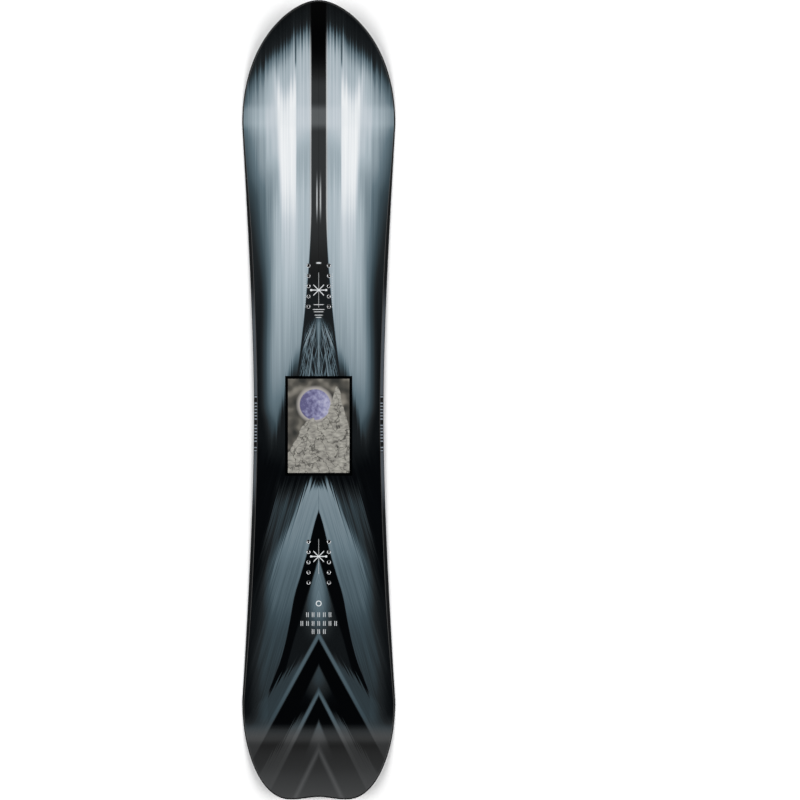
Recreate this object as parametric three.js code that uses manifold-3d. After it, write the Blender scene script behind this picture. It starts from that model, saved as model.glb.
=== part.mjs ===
// A snowboard, 1560 mm long, built as the stack of layers that a board press bonds together.
// Millimetres. +Z is up out of the topsheet, +Y points to the nose and +X to the right of the board.
// The origin is on the floor under the middle of the board, which rests on its two contact lines.
import * as THREE from "three";
import { mergeVertices } from "three/addons/utils/BufferGeometryUtils.js";
import Module from "manifold-3d";

const wasm = await Module();
wasm.setup();

// ---- Outline seen from above ----
const HALF_LENGTH = 780;
const WIDEST_HALF = 150;
const WIDEST_NOSE_Y = 542;
const WIDEST_TAIL_Y = -590;
const WAIST_HALF = 127;
const WAIST_Y = -24;
const NOSE_TIP_PULL = 48;
const NOSE_SIDE_PULL = 167;
const LOBE_HALF = 56;
const LOBE_PULL = 57;
const TAIL_SIDE_PULL = 100;
const NOTCH_HALF = 50;
const NOTCH_DEPTH = 4.7;
const TIP_FLAT_HALF = 8;

// ---- Side profile of the underside ----
const NOSE_CONTACT_Y = 540;
const TAIL_CONTACT_Y = -590;
const CONTACT_HALF_RUN = 10;
const CAMBER_RISE = 5;
const NOSE_RISE = 55;
const TAIL_RISE = 32;
const TIP_CURVE_POWER = 2.1;

// ---- Screw inserts for the bindings: two packs of two columns, on a 40 by 20 pattern ----
const INSERT_COLUMN_X = 20;
const INSERT_PITCH = 20;
const INSERTS_PER_COLUMN = 5;
const FRONT_PACK_Y = 223;
const REAR_PACK_Y = -317;
const PACK_HALF_RUN = 51;
const FLANGE_RADIUS = 9;
const FLANGE_THICKNESS = 1.2;
const BARREL_RADIUS = 4.2;
const BORE_RADIUS = 2.5;
const BORE_FLOOR = 1.4;
const HOLE_CLEARANCE = 0.25;
const TOPSHEET_HOLE_RADIUS = 3.3;
const ROUND_SEGMENTS = 10;

// ---- Layers: heights are measured up from the underside ----
const GLUE = 0.1;
const SIDE_GAP = 0.3;
const BASE_THICKNESS = 1.2;
const EDGE_WIDTH = 2.2;
const EDGE_HEIGHT = 1.8;
const EDGE_TANG_WIDTH = 6;
const EDGE_TANG_THICKNESS = 0.5;
const FOIL_THICKNESS = 0.3;
const FOIL_WIDTH = 6.5;
const GLASS_THICKNESS = 0.6;
const JOGGLE_INSET = 8.6;
const TOPSHEET_THICKNESS = 0.5;
const CORE_WAIST_THICKNESS = 6.4;
const CORE_TIP_THICKNESS = 2;
const CORE_TAPER_RUN = 290;
const CORE_INSET = 9.9;
const CORE_END = { nose: 736, tail: -738 };
const CORE_ROUNDING_RUN = 130;
const LEDGE_INSET = 1.2;
const BEVEL_RATIO = 0.93;
const SIDEWALL_END = { nose: 560, tail: -610 };

const GLASS_LOW = BASE_THICKNESS + GLUE;
const CORE_LOW = GLASS_LOW + GLASS_THICKNESS + GLUE;
const FOIL_LOW = EDGE_HEIGHT + GLUE;
const RIM_GLASS_LOW = FOIL_LOW + FOIL_THICKNESS + GLUE;
const SIDEWALL_LOW = RIM_GLASS_LOW + GLASS_THICKNESS + GLUE;
const OVERRUN = 20;

// Core strips from the middle outwards: the wood, and where each strip starts and ends.
const CORE_STRIPS = [
  { name: "core_beech", wood: "beech", from: 9, to: 31 },
  { name: "core_poplar_inner", wood: "poplar", from: 31, to: 53 },
  { name: "core_poplar_mid", wood: "poplar", from: 53, to: 75 },
  { name: "core_poplar_outer", wood: "poplar", from: 75, to: 97 },
  { name: "core_rail", wood: "beech", from: 97, to: WIDEST_HALF },
];
const CENTRE_STRIP_HALF = CORE_STRIPS[0].from;

// Places along the board where the pressed shape bends. Every layer is straight between two of them.
const CAMBER_START = WIDEST_TAIL_Y + CONTACT_HALF_RUN;
const CAMBER_END = NOSE_CONTACT_Y - CONTACT_HALF_RUN;
const STATIONS = [
  -HALF_LENGTH, -752, -722, -690, -660, -630,
  TAIL_CONTACT_Y - CONTACT_HALF_RUN, CAMBER_START, -515, -440,
  REAR_PACK_Y - PACK_HALF_RUN, REAR_PACK_Y + PACK_HALF_RUN, -180, -95, -10, 80,
  FRONT_PACK_Y - PACK_HALF_RUN, FRONT_PACK_Y + PACK_HALF_RUN, 345, 435,
  CAMBER_END, NOSE_CONTACT_Y + CONTACT_HALF_RUN,
  580, 612, 648, 684, 718, 752, HALF_LENGTH,
];
// How far each extra row near a tip lies between the tip and the nearest station.
const TIP_STEPS = [0, 0.04, 0.13, 0.3, 0.58];
const TIP_RUN = 12;

// ---- Curves of the board ----
function outlineCurve() {
  const curve = new THREE.CurvePath();
  const corners = [
    [[0, HALF_LENGTH], [NOSE_TIP_PULL, HALF_LENGTH],
      [WIDEST_HALF, WIDEST_NOSE_Y + NOSE_SIDE_PULL], [WIDEST_HALF, WIDEST_NOSE_Y]],
    [[WIDEST_HALF, WIDEST_NOSE_Y], [WIDEST_HALF, WIDEST_NOSE_Y - 23],
      [WAIST_HALF, WAIST_Y + 209], [WAIST_HALF, WAIST_Y]],
    [[WAIST_HALF, WAIST_Y], [WAIST_HALF, WAIST_Y - 230],
      [WIDEST_HALF, WIDEST_TAIL_Y + 5], [WIDEST_HALF, WIDEST_TAIL_Y]],
    [[WIDEST_HALF, WIDEST_TAIL_Y], [WIDEST_HALF, WIDEST_TAIL_Y - TAIL_SIDE_PULL],
      [LOBE_HALF + LOBE_PULL, -HALF_LENGTH], [LOBE_HALF, -HALF_LENGTH]],
  ];
  for (const [a, b, c, d] of corners) {
    const points = [a, b, c, d].map((p) => new THREE.Vector2(...p));
    curve.add(new THREE.CubicBezierCurve(...points));
  }
  return curve;
}

// Points of the outline with their inward directions, from the nose to the tail.
const OUTLINE = outlineCurve().curves.flatMap((bezier) => {
  const samples = 160;
  return Array.from({ length: samples }, (_, i) => {
    const at = bezier.getPoint(i / (samples - 1));
    const along = bezier.getTangent(i / (samples - 1));
    return { at, inward: new THREE.Vector2(along.y, -along.x) };
  });
});

// Half the width at y of the outline moved inwards by inset.
function halfWidth(y, inset) {
  const moved = OUTLINE.map((p) => p.at.clone().addScaledVector(p.inward, inset));
  const next = moved.findIndex((p) => p.y <= y);
  if (next === 0) return Math.max(moved[0].x, TIP_FLAT_HALF);
  if (next < 0) return moved.at(-1).x;
  const [a, b] = [moved[next - 1], moved[next]];
  const share = (a.y - y) / Math.max(a.y - b.y, 1e-9);
  return Math.max(THREE.MathUtils.lerp(a.x, b.x, share), TIP_FLAT_HALF);
}

function pressedRise(y) {
  const noseStart = NOSE_CONTACT_Y + CONTACT_HALF_RUN;
  const tailStart = TAIL_CONTACT_Y - CONTACT_HALF_RUN;
  if (y > noseStart) {
    return NOSE_RISE * ((y - noseStart) / (HALF_LENGTH - noseStart)) ** TIP_CURVE_POWER;
  }
  if (y < tailStart) {
    return TAIL_RISE * ((tailStart - y) / (HALF_LENGTH + tailStart)) ** TIP_CURVE_POWER;
  }
  if (y > CAMBER_END || y < CAMBER_START) return 0;
  const turn = (y - CAMBER_START) / (CAMBER_END - CAMBER_START);
  return CAMBER_RISE * (0.5 - 0.5 * Math.cos(2 * Math.PI * turn));
}

function coreThicknessCurve(y) {
  const flatNose = FRONT_PACK_Y + PACK_HALF_RUN;
  const flatTail = REAR_PACK_Y - PACK_HALF_RUN;
  const past = Math.max(y - flatNose, flatTail - y, 0);
  const share = THREE.MathUtils.smoothstep(past, 0, CORE_TAPER_RUN);
  return THREE.MathUtils.lerp(CORE_WAIST_THICKNESS, CORE_TIP_THICKNESS, share);
}

// Straight from station to station, so that layers one above the other stay parallel.
function betweenStations(curve) {
  const values = STATIONS.map(curve);
  return (y) => {
    const found = STATIONS.findIndex((station) => station > y);
    const next = found < 0 ? STATIONS.length - 1 : Math.max(found, 1);
    const share = (y - STATIONS[next - 1]) / (STATIONS[next] - STATIONS[next - 1]);
    return THREE.MathUtils.lerp(values[next - 1], values[next], share);
  };
}
const underside = betweenStations(pressedRise);
const coreThickness = betweenStations(coreThicknessCurve);

// ---- Surfaces of a layer: a height, and a half width with its two ends ----
const atHeight = (rise) => (y) => underside(y) + rise;
const aboveCore = (rise) => (y) => underside(y) + CORE_LOW + coreThickness(y) + rise;

function face(height, insetAt) {
  return {
    height,
    half: (y) => halfWidth(y, insetAt(y)),
    nose: HALF_LENGTH - insetAt(HALF_LENGTH),
    tail: -HALF_LENGTH + insetAt(-HALF_LENGTH),
  };
}
const inset = (amount) => () => amount;
const bevelInset = (height) => (y) =>
  LEDGE_INSET + BEVEL_RATIO * (height(y) - underside(y) - SIDEWALL_LOW);

// ---- Solids ----
function rowPlaces(tail, nose) {
  const inner = STATIONS.filter((y) => y > tail + TIP_RUN && y < nose - TIP_RUN);
  const tailRows = TIP_STEPS.map((step) => THREE.MathUtils.lerp(tail, inner[0], step));
  const noseRows = TIP_STEPS.map((step) => THREE.MathUtils.lerp(nose, inner.at(-1), step));
  return [...tailRows, ...inner, ...noseRows.reverse()];
}

function solidOf(positions, triangles) {
  const mesh = new wasm.Mesh({
    numProp: 3,
    vertProperties: Float32Array.from(positions),
    triVerts: Uint32Array.from(triangles),
  });
  return new wasm.Manifold(mesh);
}

// A plate across the board from one face up to another, before the tail notch is cut.
function plate(low, high) {
  const lowRows = rowPlaces(low.tail, low.nose);
  const highRows = rowPlaces(high.tail, high.nose);
  const positions = lowRows.flatMap((y, row) => {
    const top = highRows[row];
    return [
      -low.half(y), y, low.height(y),
      low.half(y), y, low.height(y),
      high.half(top), top, high.height(top),
      -high.half(top), top, high.height(top),
    ];
  });
  const last = 4 * (lowRows.length - 1);
  const triangles = [0, 1, 2, 0, 2, 3, last, last + 2, last + 1, last, last + 3, last + 2];
  for (let start = 0; start < last; start += 4) {
    for (let corner = 0; corner < 4; corner += 1) {
      const a = start + corner;
      const b = start + ((corner + 1) % 4);
      triangles.push(a, a + 4, b + 4, a, b + 4, b);
    }
  }
  return solidOf(positions, triangles);
}

function geometrySolid(geometry) {
  const bare = geometry.clone().deleteAttribute("normal").deleteAttribute("uv");
  const merged = mergeVertices(bare, 1e-4);
  return solidOf(merged.attributes.position.array, merged.index.array);
}

function box(x0, x1, y0, y1) {
  const tall = 400;
  const geometry = new THREE.BoxGeometry(x1 - x0, y1 - y0, tall);
  geometry.translate((x0 + x1) / 2, (y0 + y1) / 2, 0);
  return geometrySolid(geometry);
}

// The shallow scoop between the two lobes of the tail, moved up the board by inset.
function notchCutter(insetAmount) {
  const sides = 12;
  const shape = new THREE.Shape();
  shape.moveTo(-NOTCH_HALF, -HALF_LENGTH - OVERRUN);
  for (let i = 0; i <= sides; i += 1) {
    const x = NOTCH_HALF * ((2 * i) / sides - 1);
    const scoop = NOTCH_DEPTH * (0.5 + 0.5 * Math.cos((Math.PI * x) / NOTCH_HALF));
    shape.lineTo(x, -HALF_LENGTH + insetAmount + scoop);
  }
  shape.lineTo(NOTCH_HALF, -HALF_LENGTH - OVERRUN);
  const geometry = new THREE.ExtrudeGeometry(shape, { depth: 200, bevelEnabled: false });
  geometry.translate(0, 0, -100);
  return geometrySolid(geometry);
}

// A plate between two heights with one inset, reaching into the notch of the tail.
function slab(insetAmount, low, high) {
  const whole = plate(face(low, inset(insetAmount)), face(high, inset(insetAmount)));
  return whole.subtract(notchCutter(insetAmount));
}

function bevelledPlate(low, high) {
  const whole = plate(face(low, bevelInset(low)), face(high, bevelInset(high)));
  return whole.subtract(notchCutter(bevelInset(low)(-HALF_LENGTH)));
}

function coreFace(height, growth) {
  return {
    height,
    nose: CORE_END.nose + growth,
    tail: CORE_END.tail - growth,
    half: (y) => {
      const left = Math.min(CORE_END.nose + growth - y, y - CORE_END.tail + growth);
      const share = THREE.MathUtils.clamp(1 - left / CORE_ROUNDING_RUN, 0, 1);
      const rounded = halfWidth(y, CORE_INSET - growth) * Math.sqrt(1 - share ** 2);
      return Math.max(rounded, TIP_FLAT_HALF + growth);
    },
  };
}

const leftSide = box(-2 * WIDEST_HALF, -SIDE_GAP / 2, -2 * HALF_LENGTH, 2 * HALF_LENGTH);
const rightSide = box(SIDE_GAP / 2, 2 * WIDEST_HALF, -2 * HALF_LENGTH, 2 * HALF_LENGTH);

function insertPlaces(packY) {
  const first = packY + (INSERT_PITCH * (INSERTS_PER_COLUMN - 1)) / 2;
  const rows = Array.from({ length: INSERTS_PER_COLUMN }, (_, i) => first - i * INSERT_PITCH);
  return { left: rows.map((y) => [-INSERT_COLUMN_X, y]), right: rows.map((y) => [INSERT_COLUMN_X, y]) };
}

// Removes an upright cylinder at every insert.
function drill(solid, radius, low, high) {
  let drilled = solid;
  for (const packY of [FRONT_PACK_Y, REAR_PACK_Y]) {
    const places = insertPlaces(packY);
    for (const [x, y] of [...places.left, ...places.right]) {
      const geometry = new THREE.CylinderGeometry(radius, radius, high - low, ROUND_SEGMENTS);
      geometry.rotateX(Math.PI / 2);
      geometry.translate(x, y, underside(y) + (low + high) / 2);
      drilled = drilled.subtract(geometrySolid(geometry));
    }
  }
  return drilled;
}

// ---- Sub-parts ----
function makeBaseSheet() {
  return slab(EDGE_WIDTH + GLUE, atHeight(0), atHeight(BASE_THICKNESS));
}

// The hardened strip at the floor, with a thin tang that reaches inwards over the base.
function makeEdgeLoop() {
  const tangLow = EDGE_HEIGHT - EDGE_TANG_THICKNESS;
  const block = slab(0, atHeight(0), atHeight(EDGE_HEIGHT));
  const underTang = slab(EDGE_WIDTH, atHeight(-OVERRUN), atHeight(tangLow));
  const middle = slab(EDGE_WIDTH + EDGE_TANG_WIDTH, atHeight(-OVERRUN), atHeight(OVERRUN));
  return block.subtract(underTang).subtract(middle);
}

function makeFoilLoop() {
  const outer = LEDGE_INSET;
  const strip = slab(outer, atHeight(FOIL_LOW), atHeight(FOIL_LOW + FOIL_THICKNESS));
  return strip.subtract(slab(outer + FOIL_WIDTH, atHeight(-OVERRUN), atHeight(OVERRUN)));
}

// Lies on the base in the middle, and steps up over the edge tangs and the foil at the rim.
function makeLowerGlass() {
  const rimTop = RIM_GLASS_LOW + GLASS_THICKNESS;
  const tray = slab(JOGGLE_INSET, atHeight(GLASS_LOW), atHeight(rimTop));
  const trayRoom = slab(
    JOGGLE_INSET + GLASS_THICKNESS,
    atHeight(GLASS_LOW + GLASS_THICKNESS),
    atHeight(OVERRUN),
  );
  const rim = slab(LEDGE_INSET, atHeight(RIM_GLASS_LOW), atHeight(rimTop));
  return rim.add(tray).subtract(trayRoom);
}

// Everything that closes the sides between the lower and upper glass, outside the wooden core.
function makeRimBlock() {
  const block = bevelledPlate(atHeight(SIDEWALL_LOW), aboveCore(0));
  const room = plate(
    coreFace(atHeight(-OVERRUN), SIDE_GAP),
    coreFace(atHeight(2 * OVERRUN), SIDE_GAP),
  );
  return block.subtract(room);
}

function makeCoreBlank() {
  const blank = plate(coreFace(atHeight(CORE_LOW), 0), coreFace(aboveCore(0), 0));
  const bored = drill(blank, BARREL_RADIUS + HOLE_CLEARANCE, 0, OVERRUN);
  const flangeTop = CORE_LOW + GLUE + FLANGE_THICKNESS + HOLE_CLEARANCE;
  return drill(bored, FLANGE_RADIUS + HOLE_CLEARANCE, 0, flangeTop);
}

function makeUpperGlass() {
  const sheet = bevelledPlate(aboveCore(GLUE), aboveCore(GLUE + GLASS_THICKNESS));
  return drill(sheet, BARREL_RADIUS + HOLE_CLEARANCE, 0, OVERRUN);
}

function makeTopsheet() {
  const low = 2 * GLUE + GLASS_THICKNESS;
  const sheet = bevelledPlate(aboveCore(low), aboveCore(low + TOPSHEET_THICKNESS));
  return drill(sheet, TOPSHEET_HOLE_RADIUS, 0, OVERRUN);
}

// A flanged, blind-bored steel nut. Its origin is on its axis, at the bottom of the flange.
function insertGeometry() {
  const top = CORE_WAIST_THICKNESS - GLUE + GLASS_THICKNESS + GLUE;
  const profile = [
    [0, BORE_FLOOR],
    [BORE_RADIUS, BORE_FLOOR],
    [BORE_RADIUS, top],
    [BARREL_RADIUS, top],
    [BARREL_RADIUS, FLANGE_THICKNESS],
    [FLANGE_RADIUS, FLANGE_THICKNESS],
    [FLANGE_RADIUS, 0],
    [0, 0],
  ].map(([radius, height]) => new THREE.Vector2(radius, height));
  const geometry = new THREE.LatheGeometry(profile.reverse(), ROUND_SEGMENTS);
  geometry.rotateX(Math.PI / 2);
  return geometry;
}

// ---- Materials ----
function material(color, roughness, metalness) {
  return new THREE.MeshStandardMaterial({ color, roughness, metalness });
}
const MATERIALS = {
  topsheet: material(0x14181a, 0.25, 0),
  base: material(0x1b1e20, 0.45, 0),
  steel: material(0x9aa2a6, 0.3, 1),
  stainless: material(0xd2d5d6, 0.3, 1),
  rubber: material(0x1d1d1d, 0.9, 0),
  glass: material(0xd8d3b4, 0.4, 0),
  sidewall: material(0x2c3236, 0.5, 0),
  spacer: material(0x24282b, 0.5, 0),
  beech: material(0xc49a6c, 0.7, 0),
  poplar: material(0xe3cfa4, 0.7, 0),
};

// ---- Assembly ----
function geometryOf(solid) {
  const made = solid.getMesh();
  const geometry = new THREE.BufferGeometry();
  geometry.setAttribute("position", new THREE.BufferAttribute(made.vertProperties, 3));
  geometry.setIndex(new THREE.BufferAttribute(made.triVerts, 1));
  geometry.computeVertexNormals();
  return geometry;
}

function addPiece(group, name, geometry, look) {
  const mesh = new THREE.Mesh(geometry, look);
  mesh.name = name;
  group.add(mesh);
  return mesh;
}

function addPair(group, name, solid, look) {
  addPiece(group, `${name}_left`, geometryOf(solid.intersect(leftSide)), look);
  addPiece(group, `${name}_right`, geometryOf(solid.intersect(rightSide)), look);
}

function addBottomLayers(board) {
  addPiece(board, "base_sheet", geometryOf(makeBaseSheet()), MATERIALS.base);
  addPair(board, "edge", makeEdgeLoop(), MATERIALS.steel);
  addPair(board, "rubber_foil", makeFoilLoop(), MATERIALS.rubber);
  addPiece(board, "lower_glass", geometryOf(makeLowerGlass()), MATERIALS.glass);
}

function addRim(board) {
  const rim = makeRimBlock();
  const wide = 2 * WIDEST_HALF;
  const far = 2 * HALF_LENGTH;
  const { nose, tail } = SIDEWALL_END;
  addPair(board, "sidewall", rim.intersect(box(-wide, wide, tail, nose)), MATERIALS.sidewall);
  const noseBox = box(-wide, wide, nose + SIDE_GAP, far);
  const tailBox = box(-wide, wide, -far, tail - SIDE_GAP);
  addPiece(board, "nose_spacer", geometryOf(rim.intersect(noseBox)), MATERIALS.spacer);
  addPiece(board, "tail_spacer", geometryOf(rim.intersect(tailBox)), MATERIALS.spacer);
}

function addCore(board) {
  const blank = makeCoreBlank();
  const far = 2 * HALF_LENGTH;
  const centre = box(-CENTRE_STRIP_HALF, CENTRE_STRIP_HALF, -far, far);
  addPiece(board, "core_centre", geometryOf(blank.intersect(centre)), MATERIALS.poplar);
  for (const { name, wood, from, to } of CORE_STRIPS) {
    const left = blank.intersect(box(-to, -from - SIDE_GAP, -far, far));
    const right = blank.intersect(box(from + SIDE_GAP, to, -far, far));
    addPiece(board, `${name}_left`, geometryOf(left), MATERIALS[wood]);
    addPiece(board, `${name}_right`, geometryOf(right), MATERIALS[wood]);
  }
}

function addTopLayers(board) {
  addPiece(board, "upper_glass", geometryOf(makeUpperGlass()), MATERIALS.glass);
  addPiece(board, "topsheet", geometryOf(makeTopsheet()), MATERIALS.topsheet);
}

// Each pack is a group that lies on the board's slope at its place.
function addInsertPack(board, pack, packY) {
  const run = 2 * PACK_HALF_RUN;
  const slope = (underside(packY + PACK_HALF_RUN) - underside(packY - PACK_HALF_RUN)) / run;
  const group = new THREE.Group();
  group.position.set(0, packY, underside(packY) + CORE_LOW + GLUE);
  group.rotation.x = Math.atan(slope);
  board.add(group);
  const places = insertPlaces(packY);
  for (const side of ["left", "right"]) {
    places[side].forEach(([x, y], i) => {
      const name = `insert_${pack}_${side}_${i + 1}`;
      const mesh = addPiece(group, name, insertGeometry(), MATERIALS.stainless);
      mesh.position.set(x, y - packY, 0);
    });
  }
}

function buildBoard() {
  const board = new THREE.Group();
  board.name = "snowboard";
  addBottomLayers(board);
  addRim(board);
  addCore(board);
  addTopLayers(board);
  addInsertPack(board, "front", FRONT_PACK_Y);
  addInsertPack(board, "rear", REAR_PACK_Y);
  return board;
}

export default buildBoard();
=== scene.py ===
from math import pi, radians, tau

import bpy
import numpy as np
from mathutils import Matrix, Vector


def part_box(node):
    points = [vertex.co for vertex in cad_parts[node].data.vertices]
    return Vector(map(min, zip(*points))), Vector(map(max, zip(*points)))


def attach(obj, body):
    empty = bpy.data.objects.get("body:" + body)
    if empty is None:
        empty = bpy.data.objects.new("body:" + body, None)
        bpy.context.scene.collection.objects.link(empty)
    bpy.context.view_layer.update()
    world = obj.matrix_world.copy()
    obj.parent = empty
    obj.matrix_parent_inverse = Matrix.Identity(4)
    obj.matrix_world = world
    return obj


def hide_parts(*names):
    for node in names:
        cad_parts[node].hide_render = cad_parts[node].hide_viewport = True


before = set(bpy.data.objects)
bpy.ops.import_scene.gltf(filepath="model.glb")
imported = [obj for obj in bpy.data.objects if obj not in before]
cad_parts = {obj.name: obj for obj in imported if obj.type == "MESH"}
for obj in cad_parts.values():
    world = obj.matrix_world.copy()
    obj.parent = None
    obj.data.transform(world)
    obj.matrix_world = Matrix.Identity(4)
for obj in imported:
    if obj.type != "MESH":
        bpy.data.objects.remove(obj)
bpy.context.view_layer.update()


# ---------------------------------------------------------------- View
# The board lies flat and is seen from straight above with its nose up,
# through a long lens, so that the outline keeps its true proportions.
EYE_HEIGHT = 14.0
EYE_RIGHT = 0.159
SEEN_WIDTH = 1.566
SENSOR_WIDTH = 36.0

bpy.ops.object.camera_add(location=(EYE_RIGHT, 0.0, EYE_HEIGHT), rotation=(0.0, 0.0, 0.0))
camera = bpy.context.object
camera.name = "studio_camera"
camera.data.sensor_width = SENSOR_WIDTH
camera.data.lens = SENSOR_WIDTH * EYE_HEIGHT / SEEN_WIDTH
camera.data.clip_end = 200.0
bpy.context.scene.camera = camera
bpy.context.scene.view_settings.view_transform = "Standard"


# ---------------------------------------------------------------- Studio
# A pale floor under two broad, soft lights, one from each side, and a sky with a white
# horizon. It is brightest beyond the nose, and dark overhead, where the gloss would mirror it.
FLOOR_HALF = 90.0
FLOOR_COLOUR = (0.97, 0.97, 0.97, 1.0)
SIDE_LIGHT = {"strength": 1.85, "from_overhead": radians(37.0), "spread": radians(40.0)}
SKY_STOPS = ((0.0, 0.75), (0.3, 0.65), (0.5, 0.33), (0.62, 0.11), (0.8, 0.02), (1.0, 0.0))
SKY_AT_TAIL, SKY_AT_NOSE, SKY_AT_HORIZON = 0.15, 1.85, 1.35
HORIZON_TOP = (0.06, 0.14)


def plain_material(name, colour, roughness):
    material = bpy.data.materials.new(name)
    material.use_nodes = True
    shader = material.node_tree.nodes["Principled BSDF"]
    shader.inputs["Base Color"].default_value = colour
    shader.inputs["Roughness"].default_value = roughness
    return material


def add_studio():
    bpy.ops.mesh.primitive_plane_add(size=2.0 * FLOOR_HALF, location=(0.0, 0.0, 0.0))
    floor = bpy.context.object
    floor.name = "floor"
    floor.data.materials.append(plain_material("floor_paper", FLOOR_COLOUR, 0.9))
    for side, name in ((-1, "left"), (1, "right")):
        turn = (0.0, side * SIDE_LIGHT["from_overhead"], 0.0)
        bpy.ops.object.light_add(type="SUN", location=(side * 2.0, 0.0, 3.0), rotation=turn)
        light = bpy.context.object
        light.name = f"side_light_{name}"
        light.data.energy = SIDE_LIGHT["strength"]
        light.data.angle = SIDE_LIGHT["spread"]


def light_sky():
    """White at the horizon, bright above it, most of all beyond the nose, and dark overhead."""
    world = bpy.data.worlds.new("studio_sky")
    world.use_nodes = True
    bpy.context.scene.world = world
    nodes, links = world.node_tree.nodes, world.node_tree.links
    place = nodes.new("ShaderNodeTexCoord")
    split = nodes.new("ShaderNodeSeparateXYZ")
    ramp = nodes.new("ShaderNodeValToRGB")
    while len(ramp.color_ramp.elements) < len(SKY_STOPS):
        ramp.color_ramp.elements.new(1.0)
    for element, (height, light) in zip(ramp.color_ramp.elements, SKY_STOPS):
        element.position = height
        element.color = (light, light, light, 1.0)
    links.new(place.outputs["Generated"], split.inputs[0])
    links.new(split.outputs["Z"], ramp.inputs[0])
    links.new(ramp.outputs[0], nodes["Background"].inputs["Color"])
    lean = nodes.new("ShaderNodeMapRange")
    lean.inputs["From Min"].default_value = -1.0
    lean.inputs["To Min"].default_value = SKY_AT_TAIL
    lean.inputs["To Max"].default_value = SKY_AT_NOSE
    links.new(split.outputs["Y"], lean.inputs["Value"])
    above = nodes.new("ShaderNodeMapRange")
    above.inputs["From Min"].default_value, above.inputs["From Max"].default_value = HORIZON_TOP
    links.new(split.outputs["Z"], above.inputs["Value"])
    strength = nodes.new("ShaderNodeMix")
    strength.inputs["A"].default_value = SKY_AT_HORIZON
    links.new(above.outputs[0], strength.inputs["Factor"])
    links.new(lean.outputs[0], strength.inputs["B"])
    links.new(strength.outputs[0], nodes["Background"].inputs["Strength"])


add_studio()
light_sky()


# ---------------------------------------------------------------- Running base
# A sheet of sintered polyethylene, 1.2 mm thick, printed on its back and die cut
# so that it fits inside the steel edges. The press gives it the board's curve.
HALF_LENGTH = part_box("edge_left")[1][1]
WIDEST_HALF = 0.150
WIDEST_NOSE_Y = 0.542
WIDEST_TAIL_Y = -0.590
WAIST_HALF = 0.127
WAIST_Y = -0.024
LOBE_HALF = 0.056
NOTCH_HALF = 0.050
NOTCH_DEPTH = 0.0047
OUTLINE_HANDLES = (
    ((0.0, HALF_LENGTH), (0.048, HALF_LENGTH), (WIDEST_HALF, 0.709), (WIDEST_HALF, WIDEST_NOSE_Y)),
    ((WIDEST_HALF, WIDEST_NOSE_Y), (WIDEST_HALF, 0.519), (WAIST_HALF, 0.185), (WAIST_HALF, WAIST_Y)),
    ((WAIST_HALF, WAIST_Y), (WAIST_HALF, -0.254), (WIDEST_HALF, -0.585), (WIDEST_HALF, WIDEST_TAIL_Y)),
    ((WIDEST_HALF, WIDEST_TAIL_Y), (WIDEST_HALF, -0.690), (0.113, -HALF_LENGTH), (LOBE_HALF, -HALF_LENGTH)),
)
RISE_START = {"nose": 0.550, "tail": -0.600}
RISE = {"nose": 0.055, "tail": 0.032}
RISE_POWER = 2.1
CAMBER_START, CAMBER_END = -0.580, 0.530
CAMBER_RISE = 0.005
BASE_THICKNESS = 0.0012
BASE_INSET = 0.0023
BOARD_MM = 2000.0 * HALF_LENGTH
SHEET_ROWS = 280
SHEET_COLUMNS = 40


def outline_samples(count=240):
    """Points of the right-hand outline from nose to tail, and the inward directions there."""
    share = np.linspace(0.0, 1.0, count)[:, None]
    points, inwards = [], []
    for a, b, c, d in np.array(OUTLINE_HANDLES):
        points.append((1 - share) ** 3 * a + 3 * (1 - share) ** 2 * share * b
                      + 3 * (1 - share) * share**2 * c + share**3 * d)
        along = (1 - share) ** 2 * (b - a) + 2 * (1 - share) * share * (c - b) + share**2 * (d - c)
        along /= np.linalg.norm(along, axis=1, keepdims=True)
        inwards.append(np.column_stack((along[:, 1], -along[:, 0])))
    return np.vstack(points), np.vstack(inwards)


OUTLINE, INWARD = outline_samples()
INSET_LEVELS = 9


def half_width(y, inset):
    """Half the board's width at y, with the outline moved inwards by the inset there."""
    y, inset = np.broadcast_arrays(y, inset)
    levels = np.linspace(inset.min(), inset.max() + 1e-9, INSET_LEVELS)
    moved = [OUTLINE + INWARD * level for level in levels]
    widths = np.array([np.interp(y, m[::-1, 1], np.maximum(m[::-1, 0], 0.0)) for m in moved])
    place = (inset - levels[0]) / (levels[1] - levels[0])
    below = np.clip(place.astype(int), 0, INSET_LEVELS - 2)
    near = np.take_along_axis(widths, below[None], axis=0)[0]
    far = np.take_along_axis(widths, below[None] + 1, axis=0)[0]
    return near + (place - below) * (far - near)


def underside(y):
    """Height of the pressed underside: flat at the two contact lines, arched between, raised beyond."""
    nose = np.clip((y - RISE_START["nose"]) / (HALF_LENGTH - RISE_START["nose"]), 0.0, None)
    tail = np.clip((RISE_START["tail"] - y) / (HALF_LENGTH + RISE_START["tail"]), 0.0, None)
    turn = np.clip((y - CAMBER_START) / (CAMBER_END - CAMBER_START), 0.0, 1.0)
    arch = CAMBER_RISE * (0.5 - 0.5 * np.cos(tau * turn))
    return arch + RISE["nose"] * nose**RISE_POWER + RISE["tail"] * tail**RISE_POWER


def notch(x):
    """How far the tail's scoop reaches up the board at x."""
    inside = np.abs(x) < NOTCH_HALF
    return np.where(inside, NOTCH_DEPTH * (0.5 + 0.5 * np.cos(pi * x / NOTCH_HALF)), 0.0)


def vertices_of(mesh):
    flat = np.empty(3 * len(mesh.vertices), dtype=np.float32)
    mesh.vertices.foreach_get("co", flat)
    return flat.reshape(-1, 3).astype(float)


def set_vertices(mesh, places):
    mesh.vertices.foreach_set("co", np.asarray(places, dtype=np.float32).ravel())
    mesh.update()


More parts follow.
